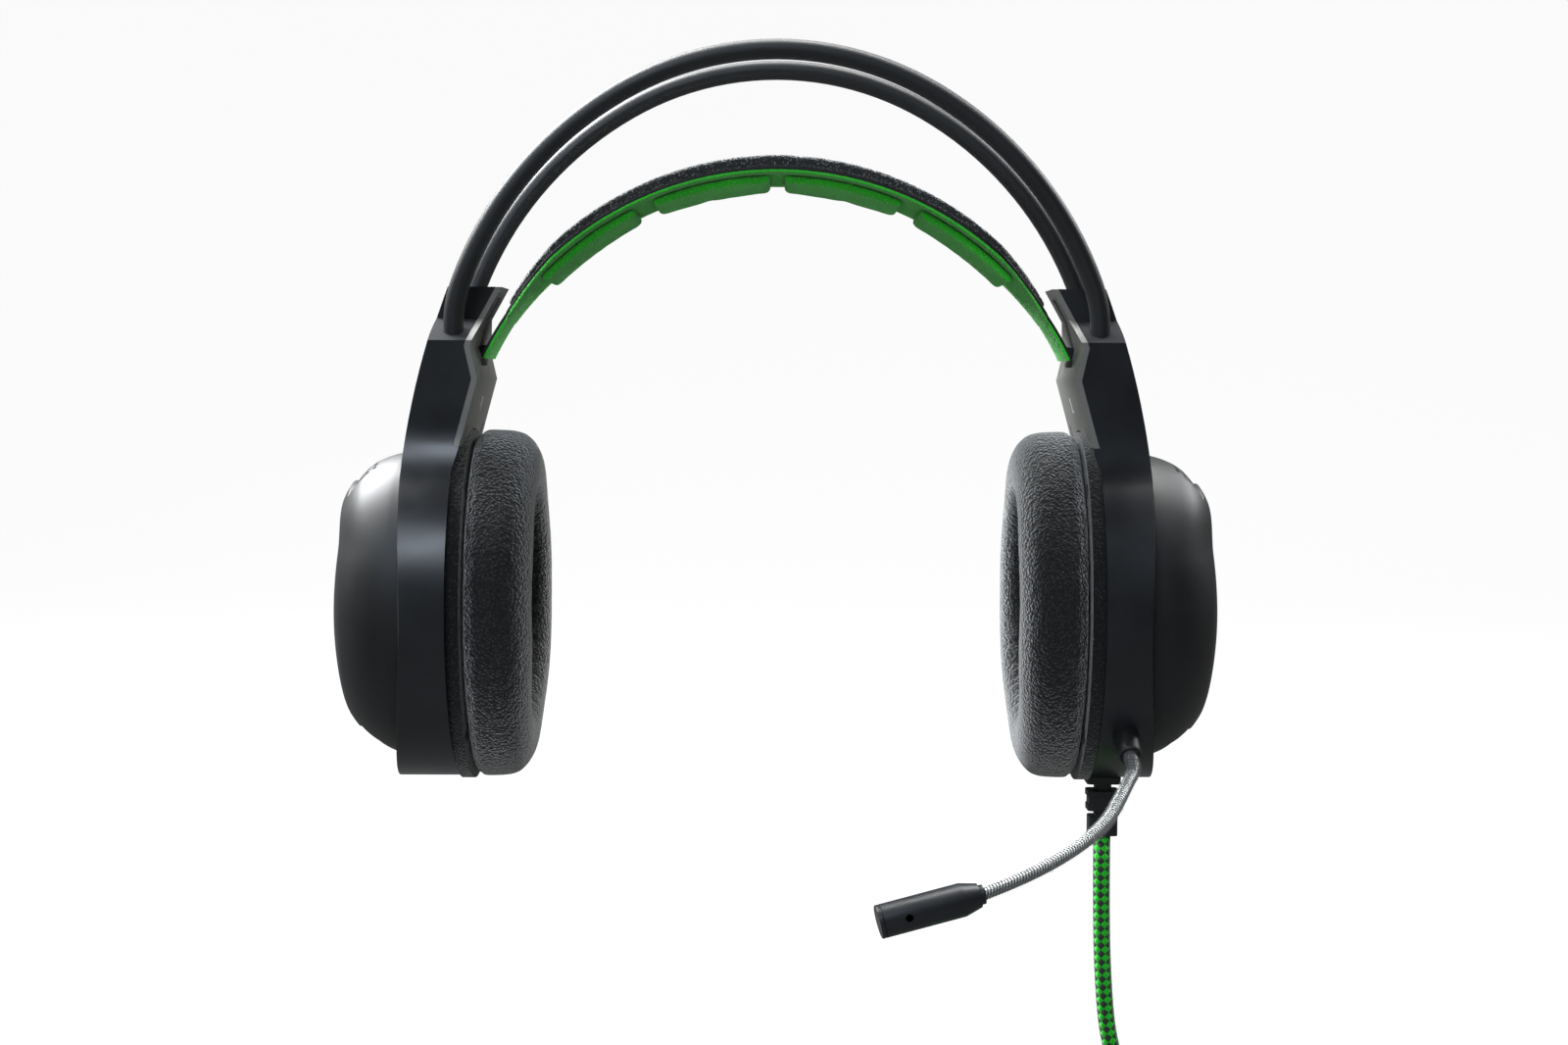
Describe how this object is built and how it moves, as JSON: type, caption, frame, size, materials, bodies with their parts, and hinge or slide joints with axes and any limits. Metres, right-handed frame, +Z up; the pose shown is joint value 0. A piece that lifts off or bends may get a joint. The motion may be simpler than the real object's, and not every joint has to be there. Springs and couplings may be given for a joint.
{
  "type": "gaming headset",
  "caption": "Over-ear wired gaming headset with a two-tube headband, a self-adjusting suspended head pad, oval fabric cushions and a gooseneck microphone.",
  "frame": {"origin": "midway between the two ear cushions on the axis through both ears, where the middle of a wearer's head comes", "axes": "+X towards the wearer's left ear, +Z up, and the wearer faces -Y"},
  "size_m": [0.2627, 0.1313, 0.3917],
  "materials": {
    "tube_coating": "black semi-matt powder coating",
    "wire": "black insulated wire",
    "screw_steel": "zinc plated",
    "housing_plastic": "black satin plastic, fine texture",
    "inner_plastic": "dark grey satin plastic",
    "frame_plastic": "black plastic",
    "dome_plastic": "black satin plastic",
    "vent_cloth": "black acoustic cloth",
    "diaphragm_film": "thin clear film",
    "magnet_steel": "plated",
    "cushion_trim": "black plastic",
    "scrim_cloth": "black mesh cloth",
    "cushion_fabric": "black woven sport fabric over foam",
    "strap_end": "green webbing over black plastic",
    "elastic": "black elastic cord",
    "green_fabric": "green fabric over foam",
    "pad_fabric": "dark grey textured fabric",
    "strap_edge": "black plastic strip",
    "boot_rubber": "soft black rubber",
    "gooseneck_sleeve": "silver coil under a clear sleeve",
    "mic_plastic": "black satin plastic",
    "circuit_board": "green laminate",
    "cord_braid": "green and black braid",
    "tie_fabric": "black hook and loop strap",
    "plug_plastic": "black moulded plastic",
    "plug_gold": "gold plated contacts"
  },
  "bodies": {
    "headset": {"front_bow_tube": "tube_coating", "rear_bow_tube": "tube_coating", "crossover_lead": "wire", "clamp_screws": "screw_steel", "cup_screws": "screw_steel", "arm_housing_left": "housing_plastic", "inner_cover_left": "inner_plastic", "tube_clamp_left": "frame_plastic", "dome_cover_left": "dome_plastic", "vent_cloth_left": "vent_cloth", "baffle_left": "frame_plastic", "driver_basket_left": "frame_plastic", "driver_diaphragm_left": "diaphragm_film", "driver_magnet_left": "magnet_steel", "cushion_plate_left": "cushion_trim", "scrim_cloth_left": "scrim_cloth", "ear_cushion_left": "cushion_fabric", "return_elastic_left": "elastic", "arm_housing_right": "housing_plastic", "inner_cover_right": "inner_plastic", "tube_clamp_right": "frame_plastic", "dome_cover_right": "dome_plastic", "vent_cloth_right": "vent_cloth", "baffle_right": "frame_plastic", "driver_basket_right": "frame_plastic", "driver_diaphragm_right": "diaphragm_film", "driver_magnet_right": "magnet_steel", "cushion_plate_right": "cushion_trim", "scrim_cloth_right": "scrim_cloth", "ear_cushion_right": "cushion_fabric", "return_elastic_right": "elastic", "mic_boot": "boot_rubber", "gooseneck_root": "gooseneck_sleeve", "junction_board": "circuit_board", "strain_relief": "boot_rubber", "cable": "cord_braid", "cable_coil": "cord_braid", "cable_tail": "cord_braid", "coil_tie": "tie_fabric", "plug_shell": "plug_plastic", "plug_contacts": "plug_gold"},
    "pad": {"pad_cover": "pad_fabric", "pad_stiffener": "strap_edge", "pad_liner": "green_fabric", "pad_cushion_left_1": "green_fabric", "pad_cushion_left_2": "green_fabric", "pad_cushion_right_1": "green_fabric", "pad_cushion_right_2": "green_fabric"},
    "slider_left": {"strap_slider_left": "strap_end"},
    "slider_right": {"strap_slider_right": "strap_end"},
    "gooseneck_1": {"gooseneck_segment_1": "gooseneck_sleeve"},
    "gooseneck_2": {"gooseneck_segment_2": "gooseneck_sleeve"},
    "gooseneck_3": {"gooseneck_segment_3": "gooseneck_sleeve"},
    "gooseneck_4": {"gooseneck_segment_4": "gooseneck_sleeve"},
    "microphone": {"gooseneck_segment_5": "gooseneck_sleeve", "mic_ferrule": "mic_plastic", "mic_shell": "mic_plastic", "mic_end_cap": "mic_plastic", "mic_element": "magnet_steel"}
  },
  "joints": [
    {"name": "pad_lift", "type": "slide", "parent": "headset", "child": "pad", "axis": [0, 0, 1], "range_m": [0, 0.013], "stiffness_N_per_m": 60, "springref_m": -0.01, "deforming": ["return_elastic_left", "return_elastic_right"]},
    {"name": "slider_left_shift", "type": "slide", "parent": "pad", "child": "slider_left", "axis": [-1, 0, 0], "range_m": [0, 0.00455]},
    {"name": "slider_right_shift", "type": "slide", "parent": "pad", "child": "slider_right", "axis": [1, 0, 0], "range_m": [0, 0.00455]},
    {"name": "mic_swing", "type": "hinge", "parent": "headset", "child": "gooseneck_1", "pos_m": [0.09666, -0.03952, -0.03892], "axis": [-0.6242, 0.7813, 0], "range_deg": [-15, 25]},
    {"name": "gooseneck_bend_1", "type": "hinge", "parent": "gooseneck_1", "child": "gooseneck_2", "pos_m": [0.0936, -0.049, -0.044], "axis": [0.063, 0.5042, -0.8613], "range_deg": [-10, 10]},
    {"name": "gooseneck_bend_2", "type": "hinge", "parent": "gooseneck_2", "child": "gooseneck_3", "pos_m": [0.086, -0.0615, -0.0508], "axis": [0.063, 0.5042, -0.8613], "range_deg": [-10, 10]},
    {"name": "gooseneck_bend_3", "type": "hinge", "parent": "gooseneck_3", "child": "gooseneck_4", "pos_m": [0.0755, -0.072, -0.0566], "axis": [0.063, 0.5042, -0.8613], "range_deg": [-10, 10]},
    {"name": "gooseneck_bend_4", "type": "hinge", "parent": "gooseneck_4", "child": "microphone", "pos_m": [0.0635, -0.0792, -0.0609], "axis": [0.063, 0.5042, -0.8613], "range_deg": [-10, 10]}
  ],
  "couplings": [
    {"joint": "slider_left_shift", "follows": "pad_lift", "ratio": 0.35},
    {"joint": "slider_right_shift", "follows": "pad_lift", "ratio": 0.35},
    {"joint": "gooseneck_bend_2", "follows": "gooseneck_bend_1", "ratio": 1},
    {"joint": "gooseneck_bend_3", "follows": "gooseneck_bend_1", "ratio": 1},
    {"joint": "gooseneck_bend_4", "follows": "gooseneck_bend_1", "ratio": 1}
  ]
}
